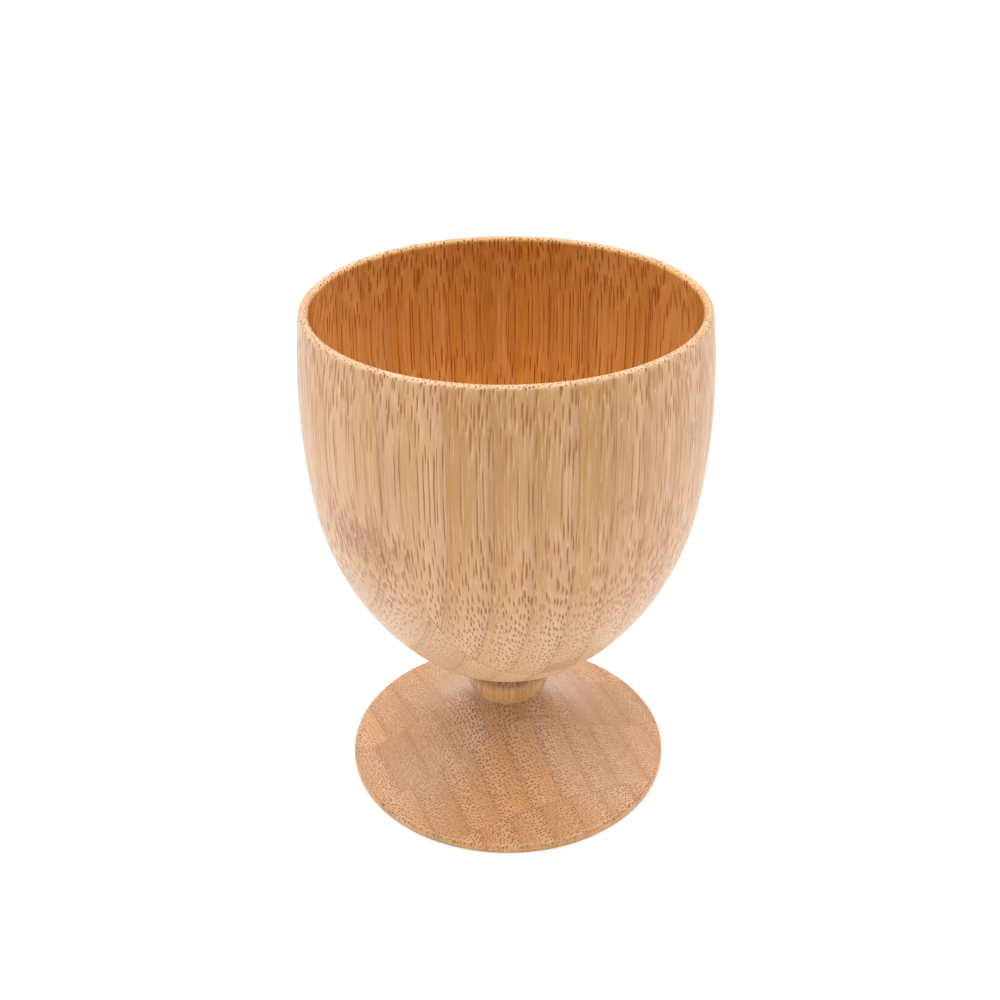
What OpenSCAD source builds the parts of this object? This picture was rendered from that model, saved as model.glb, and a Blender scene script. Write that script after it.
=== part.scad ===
// Stemmed drinking cup, turned in one piece from a block of laminated bamboo.
// The block is five upright boards, and each board is a row of bamboo strips glued face to
// face. Every strip is a solid of its own here, cut to what the lathe leaves of it.
// Z is the turning axis and the way the bamboo's fibres run. The foot stands on Z = 0.

/* [Bowl] */
// Height of the whole cup
cup_h = 110; // [95:1:125]
// Diameter at the widest part of the bowl
belly_d = 82.8; // [74:0.2:88]
// How far the widest part lies below the middle of the lip
belly_drop = 19.5; // [15:0.5:24]
// How far the rim leans in from the widest part
rim_lean = 1.3; // [0.8:0.1:3]
// Thickness of the bowl's side, which the lip rounds over
wall = 2; // [1.6:0.1:3]
// Thickness of the bowl's floor over the stem
floor_t = 5.5; // [4:0.5:9]
// Width of the level ring under the bowl, from the neck to where its curve starts
under_ring = 4.7; // [2:0.1:8]
// Radius of the inside corner between the bowl's side and its floor
corner_r = 13; // [8:0.5:16]
// Slope from level at which the base's tight curve hands over to the haunch
haunch_slope = 44; // [38:1:50]

/* [Stem] */
// Diameter of the neck above and below the bead
neck_d = 13.6; // [11:0.2:16]
// Length of the neck that shows between the foot and the bead
neck_below = 0.4; // [0.2:0.1:3]
// Length of the neck between the bead and the bowl
neck_above = 4.7; // [2:0.1:8]
// How far the round bead stands out from the neck
bead_out = 2.55; // [1.5:0.05:4]
// Radius of the bead's rounding, as seen from the side
bead_round = 5.3; // [4:0.1:7]

/* [Foot] */
// Diameter of the foot
foot_d = 71.8; // [60:0.2:84]
// Height at which the foot's hollow top would meet its side
edge_h = 1.7; // [1.6:0.1:4]
// Height at which the foot's hollow top meets the neck
foot_h = 16.4; // [12:0.2:20]
// Radius of the foot's hollow top
flare_r = 49.4; // [36:0.2:80]
// Rounding of the foot's upper edge
edge_round = 1.1; // [0.4:0.1:1.2]
// Rounding of the foot's lower edge
sole_round = 0.4; // [0.3:0.1:0.5]

/* [Laminated block] */
// Thickness of one bamboo strip, which is its share of a board's row
strip_t = 7.16; // [6.8:0.01:10]
// Width of one bamboo strip, which is the thickness of a board
board_t = 17.2; // [15:0.1:22]
// Turn of the boards about the cup's axis, in degrees
grain_turn = 22.9; // [0:0.1:90]
// How far the block's middle lies in front of the turning axis
block_shift = 0.8; // [0:0.1:3]
// A strip that would be left narrower than this isn't cut apart from its neighbour
least_strip = 2.2; // [1:0.1:4]

/* [Hidden] */
$fn = 180;
over = 1;

// How far a facet may cut under a true arc of the outline
finish = 0.02;

// The boards from front to back, and how far right of the axis each one's first glue line lies,
// as a share of a strip
BOARDS = ["front", "mid_front", "middle", "mid_back", "back"];
seam_shares = [0.48, 0.2, 0.86, 0.27, 0.37];

belly_r = belly_d / 2;
foot_r = foot_d / 2;
neck_r = neck_d / 2;

// Bead of the stem: an arc that leaves the neck and comes back to it
bead_turn = acos(1 - bead_out / bead_round);
bead_half = bead_round * sin(bead_turn);
bead_c = [neck_r + bead_out - bead_round, foot_h + neck_below + bead_half];
bowl_lift = bead_c[1] + bead_half + neck_above;

// Side of the bowl: one arc about the widest part, from the lip to as far below it
lip_r = wall / 2;
lip_z = cup_h - lip_r;
belly_z = lip_z - belly_drop;
side_r = (belly_drop * belly_drop + rim_lean * rim_lean) / (2 * rim_lean);
side_c = [belly_r - side_r, belly_z];
side_turn = asin(belly_drop / side_r);
side_end = [belly_r - rim_lean, belly_z - belly_drop];
lip_turn = asin(belly_drop / (side_r - lip_r));
lip_c = side_c + (side_r - lip_r) * [cos(lip_turn), sin(lip_turn)];

// Haunch and base of the bowl: two more arcs that go on without a kink, and whose radii
// follow from the drop and the run that are left down to the level underside
haunch_turn = 90 - haunch_slope;
drop_left = side_end[1] - bowl_lift;
run_left = side_end[0] - neck_r - under_ring;
haunch_drop_share = sin(haunch_turn) - sin(side_turn);
haunch_run_share = cos(side_turn) - cos(haunch_turn);
base_drop_share = 1 - sin(haunch_turn);
base_run_share = cos(haunch_turn);
arc_split = haunch_drop_share * base_run_share - base_drop_share * haunch_run_share;
haunch_r = (drop_left * base_run_share - base_drop_share * run_left) / arc_split;
base_r = (haunch_drop_share * run_left - drop_left * haunch_run_share) / arc_split;
haunch_c = side_end - haunch_r * [cos(side_turn), -sin(side_turn)];
base_c = [neck_r + under_ring, bowl_lift + base_r];

// Inside, the side and the haunch keep the wall, and a corner arc turns into a level floor
floor_z = bowl_lift + floor_t;
corner_reach = haunch_r - wall - corner_r;
corner_turn = asin((haunch_c[1] - floor_z - corner_r) / corner_reach);
corner_c = haunch_c + corner_reach * [cos(corner_turn), -sin(corner_turn)];

// Hollow top of the foot: an arc from the neck to the edge, where the edge's rounding takes over
edge_p = [foot_r, edge_h];
flare_p = [neck_r, foot_h];
flare_half = norm(edge_p - flare_p) / 2;
flare_way = (edge_p - flare_p) / (2 * flare_half);
flare_off = sqrt(flare_r * flare_r - flare_half * flare_half);
flare_c = (edge_p + flare_p) / 2 + flare_off * [-flare_way[1], flare_way[0]];
flare_turn = atan2(flare_p[1] - flare_c[1], flare_p[0] - flare_c[0]);
round_run = flare_c[0] - foot_r + edge_round;
round_turn = -acos(-round_run / (flare_r + edge_round));
round_c = flare_c + (flare_r + edge_round) * [cos(round_turn), sin(round_turn)];
sole_c = [foot_r - sole_round, sole_round];

// Points along an arc, ends included
function arc(centre, radius, from, to) =
    let (steps = ceil(abs(to - from) / (2 * acos(1 - finish / radius))))
    [for (i = [0 : steps])
        let (a = from + (to - from) * i / steps)
        centre + radius * [cos(a), sin(a)]];

// Half the cup's section: up the outside from the foot's sole, over the lip and down the inside
turned_outline = concat(
    [[0, 0]],
    arc(sole_c, sole_round, -90, 0),
    arc(round_c, edge_round, 0, round_turn + 180),
    arc(flare_c, flare_r, round_turn, flare_turn),
    arc(bead_c, bead_round, -bead_turn, bead_turn),
    [[neck_r, bowl_lift]],
    arc(base_c, base_r, -90, -haunch_turn),
    arc(haunch_c, haunch_r, -haunch_turn, -side_turn),
    arc(side_c, side_r, -side_turn, lip_turn),
    arc(lip_c, lip_r, lip_turn, lip_turn + 180),
    arc(side_c, side_r - wall, lip_turn, -side_turn),
    arc(haunch_c, haunch_r - wall, -side_turn, -corner_turn),
    arc(corner_c, corner_r, -corner_turn, -90),
    [[0, floor_z]]
);

// Glue lines. In each board's row, slot 0 lies on the turning axis and the slots are counted
// out from it to both sides; the outermost slots run on to the turned surface
turned_r = max(belly_r, foot_r);
most_slots = ceil(turned_r / strip_t) + 1;
function board_front(b) = (b - len(BOARDS) / 2) * board_t - block_shift;
function nearest(b) = max(0, board_front(b), -board_front(b + 1));
function reach(b) = sqrt(max(0, turned_r * turned_r - nearest(b) * nearest(b))) - least_strip;
function seam(b, k) = (k + seam_shares[b]) * strip_t;
function seams(b) = [for (k = [-most_slots : most_slots]) if (abs(seam(b, k)) < reach(b)) k];
function first_slot(b) = seams(b)[0];
function last_slot(b) = seams(b)[len(seams(b)) - 1] + 1;
function side_name(k) = k == 0 ? "centre" : str(k < 0 ? "left_" : "right_", abs(k));
function strip_name(b, k) = str(BOARDS[b], "_", side_name(k));

// The cup as it leaves the lathe
module turned_cup() {
    rotate_extrude() polygon(turned_outline);
}

// Room of one strip in the block; outermost strips and boards run on past the turned surface
module strip_room(b, k) {
    left = k == first_slot(b) ? -turned_r - over : seam(b, k - 1);
    right = k == last_slot(b) ? turned_r + over : seam(b, k);
    front = b == 0 ? -turned_r - over : board_front(b);
    back = b == len(BOARDS) - 1 ? turned_r + over : board_front(b + 1);
    rotate([0, 0, grain_turn])
        translate([left, front, -over])
            cube([right - left, back - front, cup_h + 2 * over]);
}

// One bamboo strip, as turning leaves it; neighbours alternate in tone
module strip(b, k) {
    color((k + b) % 2 == 0 ? "burlywood" : "tan")
        intersection() {
            turned_cup();
            strip_room(b, k);
        }
}

for (b = [0 : len(BOARDS) - 1])
    for (k = [first_slot(b) : last_slot(b)])
        strip(b, k);
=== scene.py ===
import math
import random

import bmesh
import bpy
import numpy as np
from mathutils import Matrix, Vector


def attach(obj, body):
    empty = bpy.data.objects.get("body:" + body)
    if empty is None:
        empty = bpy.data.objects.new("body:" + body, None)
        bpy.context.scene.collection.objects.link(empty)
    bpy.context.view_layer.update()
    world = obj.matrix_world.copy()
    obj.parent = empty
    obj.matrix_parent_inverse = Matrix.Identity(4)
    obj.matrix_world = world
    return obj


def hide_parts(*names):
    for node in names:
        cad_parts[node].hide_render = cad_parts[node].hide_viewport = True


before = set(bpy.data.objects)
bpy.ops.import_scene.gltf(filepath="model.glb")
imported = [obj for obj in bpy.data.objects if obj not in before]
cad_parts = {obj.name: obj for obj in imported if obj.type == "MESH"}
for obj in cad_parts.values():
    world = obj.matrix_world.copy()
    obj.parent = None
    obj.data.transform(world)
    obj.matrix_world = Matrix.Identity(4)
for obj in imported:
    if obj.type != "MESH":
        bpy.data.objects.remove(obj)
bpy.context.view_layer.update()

# Camera
# A studio camera about 28 cm from the cup, looking down at it by thirty degrees, with the small
# turn and tilt that the photograph has.
MM = 0.001
FILM_WIDTH = 36.0
PICTURE_WIDTH, FOCAL_LENGTH = 1000, 1295.22  # both in pixels of the photograph
eye = Vector((0.0, -236.75, 200.93)) * MM
look_down, look_aside, lean = math.radians(29.765), math.radians(-0.346), math.radians(-0.456)
ahead = Vector((math.sin(look_aside) * math.cos(look_down),
                math.cos(look_aside) * math.cos(look_down), -math.sin(look_down)))
level = Vector((math.cos(look_aside), -math.sin(look_aside), 0.0))
upright = level.cross(ahead)
across = math.cos(lean) * level + math.sin(lean) * upright
over = math.cos(lean) * upright - math.sin(lean) * level
lens = bpy.data.cameras.new("studio_camera")
lens.sensor_width = FILM_WIDTH
lens.lens = FILM_WIDTH * FOCAL_LENGTH / PICTURE_WIDTH
lens.clip_start, lens.clip_end = 0.01, 20.0
camera = bpy.data.objects.new("studio_camera", lens)
turn = Matrix((across, over, -ahead)).transposed().to_4x4()
camera.matrix_world = Matrix.Translation(eye) @ turn
bpy.context.scene.collection.objects.link(camera)
bpy.context.scene.camera = camera
bpy.context.scene.view_settings.view_transform = "Standard"

# Table and light
# A white painted tabletop that runs out of sight in a photographer's light tent: even white
# light from the sides, the back and above, and less from the front, where the tent is open. The
# tabletop lies a hair below the sole, so that the two never share one plane.
TABLE_HALF, TABLE_GAP = 4.0, 0.00002
table_mesh = bpy.data.meshes.new("white_table")
table_mesh.from_pydata([(x * TABLE_HALF, y * TABLE_HALF, -TABLE_GAP)
                        for x, y in ((-1, -1), (1, -1), (1, 1), (-1, 1))], [], [(0, 1, 2, 3)])
table = bpy.data.objects.new("white_table", table_mesh)
bpy.context.scene.collection.objects.link(table)
table_paint = bpy.data.materials.new("white_table_paint")
table_paint.use_nodes = True
paint = table_paint.node_tree.nodes["Principled BSDF"]
paint.inputs["Base Color"].default_value = (0.85, 0.855, 0.86, 1.0)
paint.inputs["Roughness"].default_value = 0.7
table_mesh.materials.append(table_paint)

# For the tent's walls and for its roof: the way towards them, how far a look has turned that way
# where their light starts and stops growing (1 is straight at them), and its strengths there
TENT_WHITE = (0.985, 0.992, 1.0, 1.0)
TENT_WALLS = ((-0.2, 0.98, 0.0), {"From Min": -0.85, "From Max": 0.25,
                                  "To Min": 0.14, "To Max": 0.74})
TENT_ROOF = ((0.02, 0.03, 0.999), {"From Min": 0.5, "From Max": 0.95,
                                   "To Min": 0.0, "To Max": 2.7})
tent = bpy.data.worlds.new("light_tent")
tent.use_nodes = True
tent_cloth = tent.node_tree
tent_light = tent_cloth.nodes["Background"]
tent_light.inputs["Color"].default_value = TENT_WHITE
toward = tent_cloth.nodes.new("ShaderNodeTexCoord")
glow_sum = tent_cloth.nodes.new("ShaderNodeMath")
glow_sum.operation = "ADD"
for i, (way, growth) in enumerate((TENT_WALLS, TENT_ROOF)):
    how_far = tent_cloth.nodes.new("ShaderNodeVectorMath")
    how_far.operation = "DOT_PRODUCT"
    how_far.inputs[1].default_value = way
    tent_cloth.links.new(toward.outputs["Generated"], how_far.inputs[0])
    glow = tent_cloth.nodes.new("ShaderNodeMapRange")
    glow.interpolation_type = "SMOOTHSTEP"
    for name, value in growth.items():
        glow.inputs[name].default_value = value
    tent_cloth.links.new(how_far.outputs["Value"], glow.inputs["Value"])
    tent_cloth.links.new(glow.outputs[0], glow_sum.inputs[i])
tent_cloth.links.new(glow_sum.outputs[0], tent_light.inputs["Strength"])
bpy.context.scene.world = tent

# Form the lathe leaves
# The cup is turned in one piece, so its whole surface is one outline spun about the fibres: foot
# with a hollow top, short neck with a round bead, and a bowl of three arcs inside and outside.
# Sizes are in millimetres and the slope in degrees, with a row each for the bowl, its floor and
# base, the neck with its bead, and the foot.
cup_h, belly_d, belly_drop, rim_lean, wall = 110.0, 82.8, 19.5, 1.3, 2.0
floor_t, under_ring, corner_r, haunch_slope = 5.5, 4.7, 13.0, 44.0
neck_d, neck_below, neck_above, bead_out, bead_round = 13.6, 0.4, 4.7, 2.55, 5.3
foot_d, edge_h, foot_h, flare_r, edge_round, sole_round = 71.8, 1.7, 16.4, 49.4, 1.1, 0.4

belly_r, foot_r, neck_r = belly_d / 2, foot_d / 2, neck_d / 2
bead_turn = math.acos(1 - bead_out / bead_round)
bead_half = bead_round * math.sin(bead_turn)
bead_c = (neck_r + bead_out - bead_round, foot_h + neck_below + bead_half)
bowl_lift = bead_c[1] + bead_half + neck_above

lip_r = wall / 2
belly_z = cup_h - lip_r - belly_drop
side_r = (belly_drop ** 2 + rim_lean ** 2) / (2 * rim_lean)
side_c = (belly_r - side_r, belly_z)
side_turn = math.asin(belly_drop / side_r)
lip_turn = math.asin(belly_drop / (side_r - lip_r))
lip_c = (side_c[0] + (side_r - lip_r) * math.cos(lip_turn), cup_h - lip_r)

# Haunch and base are the two arcs that close the bowl, tangent to each other, from the side's
# lower end to the flat ring above the neck. Their radii follow from the drop and run left there.
haunch_turn = math.radians(90 - haunch_slope)
drop_left = belly_z - belly_drop - bowl_lift
run_left = belly_r - rim_lean - neck_r - under_ring
haunch_drop = math.sin(haunch_turn) - math.sin(side_turn)
haunch_run = math.cos(side_turn) - math.cos(haunch_turn)
base_drop, base_run = 1 - math.sin(haunch_turn), math.cos(haunch_turn)
split = haunch_drop * base_run - base_drop * haunch_run
haunch_r = (drop_left * base_run - base_drop * run_left) / split
base_r = (haunch_drop * run_left - drop_left * haunch_run) / split
haunch_c = (belly_r - rim_lean - haunch_r * math.cos(side_turn),
            belly_z - belly_drop + haunch_r * math.sin(side_turn))
base_c = (neck_r + under_ring, bowl_lift + base_r)

floor_z = bowl_lift + floor_t
corner_reach = haunch_r - wall - corner_r
corner_turn = math.asin((haunch_c[1] - floor_z - corner_r) / corner_reach)
corner_c = (haunch_c[0] + corner_reach * math.cos(corner_turn),
            haunch_c[1] - corner_reach * math.sin(corner_turn))

# The foot's hollow top is one arc from its edge to the neck, and the edge's round meets it
flare_half = math.dist((foot_r, edge_h), (neck_r, foot_h)) / 2
flare_way = ((foot_r - neck_r) / (2 * flare_half), (edge_h - foot_h) / (2 * flare_half))
flare_off = math.sqrt(flare_r ** 2 - flare_half ** 2)
flare_c = ((foot_r + neck_r) / 2 - flare_off * flare_way[1],
           (edge_h + foot_h) / 2 + flare_off * flare_way[0])
flare_turn = math.atan2(foot_h - flare_c[1], neck_r - flare_c[0])
round_turn = -math.acos((foot_r - edge_round - flare_c[0]) / (flare_r + edge_round))
round_c = (flare_c[0] + (flare_r + edge_round) * math.cos(round_turn),
           flare_c[1] + (flare_r + edge_round) * math.sin(round_turn))
sole_c = (foot_r - sole_round, sole_round)

# The outline from the sole up and back down inside the bowl. A curved stretch is (centre,
# radius, from, to, whether it bulges or is hollow), a straight one (end, way that it faces).
BULGES, HOLLOW = 1, -1
DOWN, OUT, UP = (0.0, -1.0), (1.0, 0.0), (0.0, 1.0)
quarter = math.pi / 2
STRETCHES = [
    ((sole_c[0], 0.0), DOWN),
    (sole_c, sole_round, -quarter, 0.0, BULGES),
    ((foot_r, round_c[1]), OUT),
    (round_c, edge_round, 0.0, round_turn + math.pi, BULGES),
    (flare_c, flare_r, round_turn, flare_turn, HOLLOW),
    ((neck_r, foot_h + neck_below), OUT),
    (bead_c, bead_round, -bead_turn, bead_turn, BULGES),
    ((neck_r, bowl_lift), OUT),
    ((base_c[0], bowl_lift), DOWN),
    (base_c, base_r, -quarter, -haunch_turn, BULGES),
    (haunch_c, haunch_r, -haunch_turn, -side_turn, BULGES),
    (side_c, side_r, -side_turn, lip_turn, BULGES),
    (lip_c, lip_r, lip_turn, lip_turn + math.pi, BULGES),
    (side_c, side_r - wall, lip_turn, -side_turn, HOLLOW),
    (haunch_c, haunch_r - wall, -side_turn, -corner_turn, HOLLOW),
    (corner_c, corner_r, -corner_turn, -quarter, HOLLOW),
    ((0.0, floor_z), UP),
]
ON_AXIS = 1e-6


def is_straight(stretch):
    return len(stretch) == 2


def spin_cup(turns=216, longest=1.6, widest_turn=math.radians(9)):
    """The whole turned surface in millimetres, each face marked with its stretch."""
    cup = bmesh.new()
    stretch_mark = cup.faces.layers.int.new("stretch")
    outline = [((0.0, 0.0), None)]
    for k, stretch in enumerate(STRETCHES):
        if is_straight(stretch):
            outline.append((stretch[0], k))
            continue
        centre, radius, start, stop, _ = stretch
        steps = math.ceil(max(abs(stop - start) * radius / longest,
                              abs(stop - start) / widest_turn))
        for i in range(1, steps + 1):
            a = start + (stop - start) * i / steps
            outline.append(((centre[0] + radius * math.cos(a),
                             centre[1] + radius * math.sin(a)), k))
    rings = []
    for (r, z), _ in outline:
        if r < ON_AXIS:
            rings.append([cup.verts.new((0.0, 0.0, z))] * turns)
        else:
            rings.append([cup.verts.new((r * math.cos(math.tau * i / turns),
                                         r * math.sin(math.tau * i / turns), z))
                          for i in range(turns)])
    for low, high, (_, k) in zip(rings, rings[1:], outline[1:]):
        for i in range(turns):
            j = (i + 1) % turns
            corners = list(dict.fromkeys((low[i], low[j], high[j], high[i])))
            cup.faces.new(corners)[stretch_mark] = k
    return cup


# Bamboo of the glued block
# Moso bamboo, split, planed and glued: tan ground tissue with dark brown fibre bundles that run
# up the cup. Near a strip's outer skin they are small and crowded, further in fewer and larger.
# The boards stand turned by GRAIN_TURN from facing the camera.
GRAIN_TURN = math.radians(22.9)

bamboo = bpy.data.materials.new("laminated_bamboo")
bamboo.use_nodes = True
bench = bamboo.node_tree
bench.nodes.clear()


def wire(value, socket):
    """Joins a made value to a socket, or sets a plain one there."""
    if isinstance(value, bpy.types.NodeSocket):
        bench.links.new(value, socket)
    else:
        socket.default_value = value


def tool(kind, inputs=(), out=0, **settings):
    """One node of the bamboo's make-up: its inputs by number or name, its output socket."""
    node = bench.nodes.new("ShaderNode" + kind)
    for key, value in settings.items():
        setattr(node, key, value)
    for key, value in (inputs.items() if isinstance(inputs, dict) else enumerate(inputs)):
        wire(value, node.inputs[key])
    return node.outputs[out]


def reckon(how, *values):
    """One step of reckoning, called as Blender calls it."""
    return tool("Math", values, operation=how)


def reckon_each(how, *values, out=0):
    """The same on each axis of a place, or on each part of a colour."""
    return tool("VectorMath", values, out=out, operation=how)


def plus(start, much, of):
    """A start with so much of another value added to it."""
    return reckon("MULTIPLY_ADD", of, much, start)


def both(first, second):
    """Where two softly edged areas overlap, or one area by the share it shows with."""
    return reckon("MULTIPLY", first, second)


def held(value):
    """A value held between 0 and 1."""
    return tool("Clamp", {"Value": value})


def rise(value, low, high, start=0.0, end=1.0):
    """Goes softly from start to end while value goes from low to high."""
    return tool("MapRange", {"Value": value, "From Min": low, "From Max": high,
                             "To Min": start, "To Max": end}, interpolation_type="SMOOTHSTEP")


def fade(share, first, second):
    """From the first colour to the second by a share."""
    return tool("Mix", {"Factor": share, 6: first, 7: second}, out=2, data_type="RGBA")


def axes(vector):
    parts = bench.nodes.new("ShaderNodeSeparateXYZ")
    wire(vector, parts.inputs[0])
    return parts.outputs[0], parts.outputs[1], parts.outputs[2]


def point(x, y, z=0.0):
    return tool("CombineXYZ", (x, y, z))


def mottle(where, scale, detail=2.0):
    """Soft noise about zero, from -0.5 to 0.5."""
    return reckon("SUBTRACT", tool("TexNoise", {"Vector": where, "Scale": scale,
                                                "Detail": detail}), 0.5)


def strip_mark(name):
    """Three values that every strip carries with it."""
    return axes(tool("Attribute", out=1, attribute_name=name))


# Place in the block, in millimetres: across the boards' strips, through the boards, and up
on_cup = tool("TexCoord", out=3)
squared_up = tool("VectorRotate", {"Vector": on_cup, "Angle": -GRAIN_TURN},
                  rotation_type="Z_AXIS")
in_block = tool("VectorMath", {0: squared_up, "Scale": 1 / MM}, operation="SCALE")
side_on, through, height = axes(in_block)
first_edge, last_edge, seed = strip_mark("strip_place")
board_front, board_back, skin_side = strip_mark("strip_board")
tone, contrast, own_light = strip_mark("strip_look")
knot_height, knot_deep, knot_reach = strip_mark("strip_knot")

# Culm knot: a wavy band a few millimetres high where the fibres swerve and darken
KNOT_WAVE, KNOT_WAVE_SCALE, KNOT_HEART = 5.0, 0.35, 0.22
knot_wave = reckon("MULTIPLY", mottle(in_block, KNOT_WAVE_SCALE), KNOT_WAVE)
knot_off = reckon("ABSOLUTE", reckon("ADD", reckon("SUBTRACT", height, knot_height), knot_wave))
knot = rise(knot_off, knot_reach, reckon("MULTIPLY", knot_reach, KNOT_HEART))


def waver(squeeze, elsewhere, *noise):
    """Two waves of their own that run up with the fibres: across the strip and through it."""
    along = reckon_each("MULTIPLY", in_block, squeeze)
    return mottle(along, *noise), mottle(reckon_each("ADD", along, elsewhere), *noise)


# Fibres wander a little as they climb, more at a knot, and shake finely, in millimetres
WANDER, SWERVE, SHAKE = 0.42, 1.3, 0.4
wander_s, wander_t = waver((1.0, 1.0, 0.22), (40.0, 9.0, 3.0), 0.16)
shake_s, shake_t = waver((1.0, 1.0, 0.15), (17.0, 5.0, 8.0), 0.9, 1.0)
swerve = plus(WANDER, SWERVE, knot)
across_s = plus(reckon("ADD", side_on, reckon("MULTIPLY", wander_s, swerve)), SHAKE, shake_s)
across_t = plus(reckon("ADD", through, reckon("MULTIPLY", wander_t, swerve)), SHAKE, shake_t)

# Depth from the inner face (0) to the outer skin (1) of the culm, across one strip
strip_w = reckon("SUBTRACT", last_edge, first_edge)
from_first = reckon("DIVIDE", reckon("SUBTRACT", across_s, first_edge), strip_w)
depth = held(tool("Mix", {0: skin_side, 2: reckon("SUBTRACT", 1.0, from_first), 3: from_first},
                  data_type="FLOAT"))

# Which way the wood is cut here: along the fibres (0) or across them (1), and whether the cut
# faces up, down, or into the bowl
facing = tool("NewGeometry", out=1)
facing_up = axes(facing)[2]
slope = reckon("ABSOLUTE", facing_up)
end_cut = rise(slope, 0.05, 0.6)
under = rise(facing_up, -0.1, -0.6)
place_x, place_y, _ = axes(on_cup)
outward = reckon_each("DOT_PRODUCT", facing, reckon_each("NORMALIZE", point(place_x, place_y)),
                      out=1)
bowl_floor = both(rise(facing_up, 0.6, 0.9), rise(height, 70.0, 60.0))
bowl_floor = both(bowl_floor, rise(height, 30.0, 34.0))
inside = reckon("MAXIMUM", bowl_floor, rise(outward, -0.5, -0.9))

# Parts of the cup that show with a colour of their own, by height and by facing
upper_bowl = rise(height, 68.0, 96.0)
lip = rise(height, 108.8, 109.6, 0.0, 0.5)
# Painted shade: the neck just under the bowl, darkened where the bowl's shadow falls on it
neck = both(rise(height, 20.5, 26.5), rise(height, 30.5, 30.3))
low_side = both(rise(height, 33.0, 30.0), reckon("SUBTRACT", 1.0, end_cut))
sole = both(rise(facing_up, -0.3, -0.9), rise(height, 10.0, 5.0))
bowl_bottom = held(reckon("SUBTRACT", rise(facing_up, -0.1, -0.7, 0.0, 0.75), sole))
foot_top = both(rise(facing_up, 0.3, 0.9), rise(height, 40.0, 25.0))

# Fibre bundles: one to a cell, and the cells narrow towards the skin. Widths are in millimetres.
CELL_W, CELL_T, NARROWING, CELL_LUCK = 1.00, 0.70, 0.40, 0.68
SEED_STEP_S, SEED_STEP_T = 41.7, 23.1
cell_w = plus(CELL_W, -CELL_W * NARROWING, depth)
crowding = reckon("LOGARITHM", plus(1.0, -NARROWING, depth), math.e)
cell_s = reckon("MULTIPLY", reckon("MULTIPLY", crowding, strip_w), -1 / (CELL_W * NARROWING))
cell_t = reckon("DIVIDE", across_t, CELL_T)
cell = point(plus(cell_s, SEED_STEP_S, seed), plus(cell_t, SEED_STEP_T, seed))
cells = bench.nodes.new("ShaderNodeTexVoronoi")
cells.voronoi_dimensions = "2D"
cells.inputs["Scale"].default_value = 1.0
cells.inputs["Randomness"].default_value = CELL_LUCK
wire(cell, cells.inputs["Vector"])
off_s, off_t, _ = axes(reckon_each("SUBTRACT", cell, cells.outputs["Position"]))
off_s = reckon("MULTIPLY", off_s, cell_w)
off_t = reckon("MULTIPLY", off_t, CELL_T)
luck, luck_too, _ = axes(cells.outputs["Color"])

# A bundle's radius in millimetres: smaller near the skin, and where the cup faces down
BUNDLE_R, AT_SKIN, BY_LUCK, FACING_DOWN = 0.16, -0.03, 0.08, -0.03
bundle_r = plus(plus(BUNDLE_R, AT_SKIN, depth), BY_LUCK, luck)
bundle_r = plus(bundle_r, FACING_DOWN, under)


def away(from_s, from_t):
    """Distance from a place beside the bundle's middle, in bundle radii."""
    there_s, there_t = reckon("ADD", off_s, from_s), reckon("ADD", off_t, from_t)
    squares = reckon("MULTIPLY_ADD", there_s, there_s, reckon("MULTIPLY", there_t, there_t))
    return reckon("DIVIDE", reckon("SQRT", squares), bundle_r)


# Its dark core, in bundle radii: finer on the cup's steep sides, and darker inside the bowl and
# near the skin. Away from the skin about one bundle in five doesn't show.
CORE_GONE, CORE_FULL, SIDE_FINER = 1.15, 0.75, 0.3
KEPT_NONE, KEPT_ALL, KEPT_CROWD = 0.85, 0.77, 0.25
from_middle = away(0.0, 0.0)
finer = rise(slope, 0.0, 0.12, SIDE_FINER, 0.0)
core = rise(from_middle, reckon("SUBTRACT", CORE_GONE, finer),
            reckon("SUBTRACT", CORE_FULL, finer))
crowd = rise(depth, -0.1, 0.85)
patchy = rise(mottle(reckon_each("MULTIPLY", in_block, (1.0, 1.0, 0.45)), 0.4),
              -0.2, 0.15, 0.75, 1.0)
kept = rise(luck_too, plus(KEPT_NONE, KEPT_CROWD, crowd), plus(KEPT_ALL, KEPT_CROWD, crowd))
seen = both(kept, contrast)
dark = both(plus(0.62, 0.38, crowd), patchy)
dark = both(dark, plus(1.0, 1.0, inside))
bundle = held(both(both(core, seen), dark))

# Pale sheath net between crowded bundles, and a painted highlight: a crescent at one flank of
# the core, where light would catch the bundle's edge
GLINT_S, GLINT_T, NET_SHOWS = -0.14, 0.18, 0.5
net = both(rise(from_middle, 1.1, 2.2), crowd)
# Painted highlight: a cream crescent beside each bundle's core
glint_crescent = both(rise(away(GLINT_S, GLINT_T), 1.5, 0.5), plus(0.6, 0.4, crowd))
sheath_and_glint = held(both(plus(glint_crescent, NET_SHOWS, net), seen))

# Fine fibre of the ground tissue, and broad streaks, both long up the cup
thread = mottle(reckon_each("MULTIPLY", in_block, (2.4, 2.4, 0.10)), 1.0, 3.0)
streak = mottle(reckon_each("MULTIPLY", in_block, (0.55, 0.55, 0.018)), 1.0, 3.0)


def nearer_edge(place, one, other):
    """How far it is to the nearer of two glued edges, in millimetres."""
    return reckon("MINIMUM", reckon("ABSOLUTE", reckon("SUBTRACT", place, one)),
                  reckon("ABSOLUTE", reckon("SUBTRACT", other, place)))


# Glue lines between strips and between boards, gone GLUE_REACH millimetres from the edge
GLUE_REACH, GLUE_FULL = 0.14, 0.03
glue = rise(reckon("MINIMUM", nearer_edge(side_on, first_edge, last_edge),
                   nearer_edge(through, board_front, board_back)), GLUE_REACH, GLUE_FULL)
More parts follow.
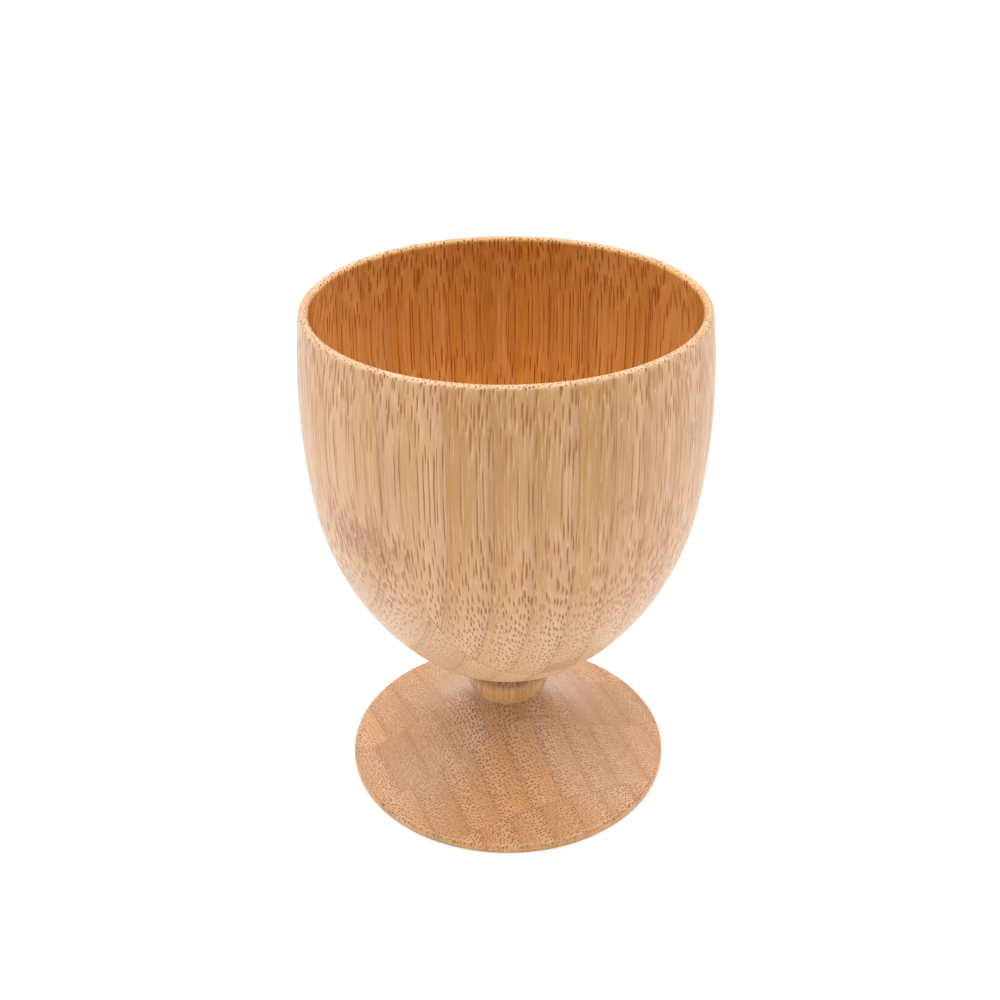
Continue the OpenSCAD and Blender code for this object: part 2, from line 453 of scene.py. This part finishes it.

# Ground colour: straw to amber by strip and away from the skin, more amber high on the bowl,
# paler on the bowl's bottom and lip, golden on the steep sides below the bowl, and browner on
# the foot's top and the sole. The neck under the bowl is darkened as painted shade.
STRAW, AMBER = (0.610, 0.335, 0.155, 1.0), (0.550, 0.260, 0.060, 1.0)
PALE, TOP = (0.720, 0.470, 0.270, 1.0), (0.450, 0.205, 0.086, 1.0)
GOLD = (0.800, 0.400, 0.110, 1.0)
# Painted shade on the neck under the bowl
NECK_SHADE_TINT = (0.36, 0.22, 0.10)
SKIN_AMBER, STREAK_AMBER, HONEY_AMBER, ALL_AMBER = -0.35, 0.8, 0.6, 0.15
STREAK_LIGHT, HONEY_LIGHT = -0.25, -0.17
TOP_SHOWS, GOLD_SHOWS = 0.6, 0.6
honey = both(upper_bowl, tone)
amber = plus(plus(tone, SKIN_AMBER, depth), STREAK_AMBER, streak)
amber = plus(amber, HONEY_AMBER, honey)
ground = fade(held(reckon("ADD", amber, ALL_AMBER)), STRAW, AMBER)
ground = fade(bowl_bottom, ground, PALE)
ground = fade(both(reckon("ADD", foot_top, sole), TOP_SHOWS), ground, TOP)
ground = fade(both(low_side, GOLD_SHOWS), ground, GOLD)
ground = fade(lip, ground, PALE)
# Painted shade: the neck under the bowl darkened, standing in for the bowl's shadow
ground = fade(neck, ground, reckon_each("MULTIPLY", ground, NECK_SHADE_TINT))
light = plus(plus(own_light, HONEY_LIGHT, honey), STREAK_LIGHT, streak)
ground = tool("VectorMath", {0: ground, "Scale": light}, operation="SCALE")

# Over it lie the fine fibres, sheaths with their painted highlights, skin, bundles, knot and
# glue, and painted bounce light inside the bowl
BROWN, ORANGE = (0.260, 0.075, 0.012, 1.0), (0.380, 0.115, 0.012, 1.0)
CREAM, GLUE = (0.800, 0.540, 0.320, 1.0), (0.260, 0.085, 0.020, 1.0)
THREAD_TINT, BOUNCE_LIGHT_TINT = (0.72, 0.60, 0.45), (1.25, 1.19, 0.80)
THREAD_SPAN, THREAD_SHOWS, SKIN_SHOWS, GLUE_SHOWS = 0.25, 0.35, 0.22, 0.35
ground = fade(rise(thread, 0.0, -THREAD_SPAN, 0.0, THREAD_SHOWS), ground,
              reckon_each("MULTIPLY", ground, THREAD_TINT))
ground = fade(rise(thread, 0.0, THREAD_SPAN, 0.0, THREAD_SHOWS), ground, CREAM)
sheath_and_glint_shows = plus(plus(0.35, 0.5, under), 0.1, end_cut)
# Cream sheath net, with the crescent as painted highlight
ground = fade(both(sheath_and_glint, sheath_and_glint_shows), ground, CREAM)
ground = fade(rise(depth, 0.7, 1.0, 0.0, SKIN_SHOWS), ground, BROWN)
bundle_shows = plus(plus(1.0, -0.1, under), -0.55, low_side)
ground = fade(both(bundle, bundle_shows), ground, fade(end_cut, ORANGE, BROWN))
fleck = rise(mottle(in_block, 1.5), 0.02, 0.16)
knot_shows = both(both(knot, knot_deep), plus(0.7, 1.2, fleck))
ground = fade(knot_shows, ground, BROWN)
ground = fade(both(glue, GLUE_SHOWS), ground, GLUE)
# Painted bounce light: the bowl's inside made lighter and warmer
ground = fade(inside, ground, reckon_each("MULTIPLY", ground, BOUNCE_LIGHT_TINT))

# Sanded smooth and lightly oiled: the bundles lie a few hundredths of a millimetre lower than
# the fine fibres round them, and are a little rougher
MATT, THREAD_MATT, BUNDLE_MATT = 0.40, 0.12, 0.10
RELIEF_M, THREAD_RELIEF = 0.00004, 0.6
polish = bench.nodes.new("ShaderNodeBsdfPrincipled")
wire(ground, polish.inputs["Base Color"])
wire(plus(plus(MATT, THREAD_MATT, thread), BUNDLE_MATT, bundle), polish.inputs["Roughness"])
polish.inputs["IOR"].default_value = 1.5
polish.inputs["Coat Weight"].default_value = 0.25
polish.inputs["Coat Roughness"].default_value = 0.32
relief = bench.nodes.new("ShaderNodeBump")
relief.inputs["Strength"].default_value = 0.6
relief.inputs["Distance"].default_value = RELIEF_M
wire(reckon("SUBTRACT", reckon("MULTIPLY", thread, THREAD_RELIEF), bundle),
     relief.inputs["Height"])
bench.links.new(relief.outputs[0], polish.inputs["Normal"])
finished = bench.nodes.new("ShaderNodeOutputMaterial")
bench.links.new(polish.outputs[0], finished.inputs["Surface"])

# Strips
# The block is five upright boards of narrow bamboo strips, glued face to face. Every strip is
# a piece of its own here: what the lathe leaves of it, cut along its own glue lines. Each board
# has its seams at its own share of a strip, and its culm skins all to one side.
STRIP_T, BOARD_T, BLOCK_SHIFT, LEAST_STRIP = 7.16, 17.2, 0.8, 2.2
BOARDS = ["front", "mid_front", "middle", "mid_back", "back"]
SEAM_SHARES = [0.48, 0.2, 0.86, 0.27, 0.37]
SKIN_AT_RIGHT = [True, False, True, False, True]
MOST_SEAMS = 7

# What the photograph shows of single strips, on the outside or on the bowl's inner wall: tone
# from straw (0) to amber (1), how strong the bundles are, and how light the strip is
SEEN = {
    "front_left_4": (0.30, 1.05, 1.03), "front_left_3": (0.65, 1.05, 0.99),
    "front_left_2": (0.65, 1.05, 1.00), "front_left_1": (0.50, 1.10, 0.99),
    "front_centre": (0.62, 0.80, 0.98), "front_right_1": (0.32, 0.90, 1.00),
    "front_right_2": (0.30, 1.00, 0.98), "front_right_3": (0.35, 1.20, 0.98),
    "mid_front_left_5": (0.28, 1.10, 1.01), "mid_front_left_3": (0.42, 0.75, 0.93),
    "mid_front_left_2": (0.50, 0.90, 1.03), "mid_front_left_1": (0.95, 0.95, 1.16),
    "mid_front_centre": (0.85, 0.95, 1.19), "mid_front_right_1": (0.48, 0.90, 1.08),
    "mid_front_right_2": (0.40, 0.80, 0.98), "mid_front_right_3": (0.25, 0.70, 0.96),
    "mid_front_right_4": (0.10, 0.60, 0.97),
    "middle_left_4": (0.55, 0.50, 0.95), "middle_left_3": (0.50, 0.75, 1.02),
    "middle_left_2": (0.20, 1.60, 1.00), "middle_left_1": (0.80, 1.00, 1.00),
    "middle_centre": (0.75, 1.00, 1.00), "middle_right_2": (0.00, 0.30, 0.95),
    "middle_right_3": (0.05, 0.35, 0.88), "middle_right_4": (0.15, 0.70, 0.87),
    "middle_right_5": (0.30, 1.10, 1.02),
    "mid_back_left_4": (0.15, 1.10, 1.15), "mid_back_right_5": (0.37, 1.10, 1.00),
    "mid_back_right_6": (0.35, 1.10, 1.03),
    "back_left_4": (0.00, 1.10, 1.06), "back_left_3": (0.15, 1.05, 1.04),
    "back_left_2": (0.19, 0.95, 0.99), "back_left_1": (0.45, 1.00, 1.05),
    "back_centre": (0.30, 0.90, 1.03), "back_right_1": (0.65, 0.95, 1.02),
    "back_right_2": (0.50, 0.90, 0.98), "back_right_3": (0.70, 0.95, 1.04),
    "back_right_4": (0.50, 0.85, 0.98),
}

# Culm knots that it shows: the knot's height, how dark it is, and how far it reaches
KNOTS_SEEN = {
    "front_centre": (42.0, 0.3, 3.6), "front_right_1": (83.5, 0.15, 3.0),
    "front_right_2": (73.0, 0.12, 3.6), "front_right_3": (93.0, 0.12, 3.6),
    "mid_front_left_5": (74.0, 0.35, 7.0),
}

# The ranges that strips which it doesn't show are drawn from
ANY_TONE, ANY_CONTRAST, ANY_SEED, PLAIN_LIGHT = (0.05, 0.8), (0.8, 1.1), (1, 9), 1.0
ANY_KNOT, KNOT_DEEP, KNOT_REACH, KNOT_SHARE = (5, 105), 0.2, 3.6, 0.35
NO_KNOT = (-100.0, 0.0, KNOT_REACH)
GLUED_FACE = -1


def cut_away(piece, place, facing_out):
    """Cuts a strip along one glue line, drops what lies beyond it and closes the cut."""
    stretch_mark = piece.faces.layers.int["stretch"]
    cut = bmesh.ops.bisect_plane(
        piece, geom=piece.verts[:] + piece.edges[:] + piece.faces[:], dist=1e-4,
        plane_co=place, plane_no=facing_out, clear_outer=True)
    rim = [e for e in cut["geom_cut"] if isinstance(e, bmesh.types.BMEdge) and e.is_boundary]
    caps = bmesh.ops.holes_fill(piece, edges=rim, sides=0)["faces"]
    for face in caps:
        face[stretch_mark] = GLUED_FACE
    bmesh.ops.triangulate(piece, faces=caps)


def turned_facings(mesh):
    """The way each face corner faces: as the true turned outline does, and flat where glued."""
    corners = np.empty(len(mesh.loops), int)
    mesh.loops.foreach_get("vertex_index", corners)
    spots = np.empty(len(mesh.vertices) * 3)
    mesh.vertices.foreach_get("co", spots)
    spots = spots.reshape(-1, 3)[corners] / MM
    faces = np.repeat(np.arange(len(mesh.polygons)), [p.loop_total for p in mesh.polygons])
    marks = np.empty(len(mesh.polygons), int)
    mesh.attributes["stretch"].data.foreach_get("value", marks)
    marks = marks[faces]
    facings = np.array([p.normal for p in mesh.polygons])[faces]
    out_r = np.hypot(spots[:, 0], spots[:, 1])
    way = spots[:, :2] / np.maximum(out_r, ON_AXIS)[:, None]
    for k, stretch in enumerate(STRETCHES):
        here = (marks == k) & (out_r > ON_AXIS)
        if is_straight(stretch):
            face_r, face_z = (np.full(here.sum(), v) for v in stretch[1])
        else:
            (c_r, c_z), _, _, _, bulge = stretch
            face_r, face_z = bulge * (out_r[here] - c_r), bulge * (spots[here, 2] - c_z)
        size = np.hypot(face_r, face_z)
        facings[here, :2] = way[here] * (face_r / size)[:, None]
        facings[here, 2] = face_z / size
    return facings


def finish_strip(piece, name, strip_marks):
    """Makes the strip's object in metres, smooth as turned, with its own marks and the bamboo."""
    bmesh.ops.recalc_face_normals(piece, faces=piece.faces[:])
    bmesh.ops.scale(piece, vec=(MM, MM, MM), verts=piece.verts[:])
    mesh = bpy.data.meshes.new(name)
    piece.to_mesh(mesh)
    piece.free()
    facings = turned_facings(mesh)
    mesh.attributes.remove(mesh.attributes["stretch"])
    mesh.polygons.foreach_set("use_smooth", [True] * len(mesh.polygons))
    mesh.normals_split_custom_set([tuple(n) for n in facings])
    for label, values in strip_marks.items():
        mark = mesh.attributes.new(label, "FLOAT_VECTOR", "POINT")
        mark.data.foreach_set("vector", list(values) * len(mesh.vertices))
    mesh.materials.append(bamboo)
    strip = bpy.data.objects.new(name, mesh)
    bpy.context.scene.collection.objects.link(strip)
    return strip


chance = random.Random(5)
whole_cup = spin_cup()
across_way = Vector((math.cos(GRAIN_TURN), math.sin(GRAIN_TURN), 0.0))
through_way = Vector((-math.sin(GRAIN_TURN), math.cos(GRAIN_TURN), 0.0))
for b, board in enumerate(BOARDS):
    t_front = (b - len(BOARDS) / 2) * BOARD_T - BLOCK_SHIFT
    t_back = t_front + BOARD_T
    row = whole_cup.copy()
    if board != BOARDS[0]:
        cut_away(row, through_way * t_front, -through_way)
    if board != BOARDS[-1]:
        cut_away(row, through_way * t_back, through_way)
    nearest = max(0.0, t_front, -t_back)
    reach = math.sqrt(belly_r ** 2 - nearest ** 2) - LEAST_STRIP
    seams = [k for k in range(-MOST_SEAMS, MOST_SEAMS + 1)
             if abs((k + SEAM_SHARES[b]) * STRIP_T) < reach]
    for k in range(seams[0], seams[-1] + 2):
        side = "centre" if k == 0 else f"left_{-k}" if k < 0 else f"right_{k}"
        node_name = f"{board}_{side}"
        right = (k + SEAM_SHARES[b]) * STRIP_T
        left = right - STRIP_T
        look = (chance.uniform(*ANY_TONE), chance.uniform(*ANY_CONTRAST), PLAIN_LIGHT)
        has_knot = chance.random() < KNOT_SHARE
        knot_here = (chance.uniform(*ANY_KNOT), KNOT_DEEP, KNOT_REACH) if has_knot else NO_KNOT
        seed_here = chance.uniform(*ANY_SEED)
        if node_name in SEEN:
            look, knot_here = SEEN[node_name], KNOTS_SEEN.get(node_name, NO_KNOT)
        piece = row.copy()
        if k > seams[0]:
            cut_away(piece, across_way * left, -across_way)
        if k <= seams[-1]:
            cut_away(piece, across_way * right, across_way)
        strip = finish_strip(piece, node_name + "_bamboo", {
            "strip_place": (left, right, seed_here),
            "strip_board": (t_front, t_back, 1.0 if SKIN_AT_RIGHT[b] else 0.0),
            "strip_look": look,
            "strip_knot": knot_here,
        })
        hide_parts(node_name)
        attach(strip, "root")
    row.free()
whole_cup.free()
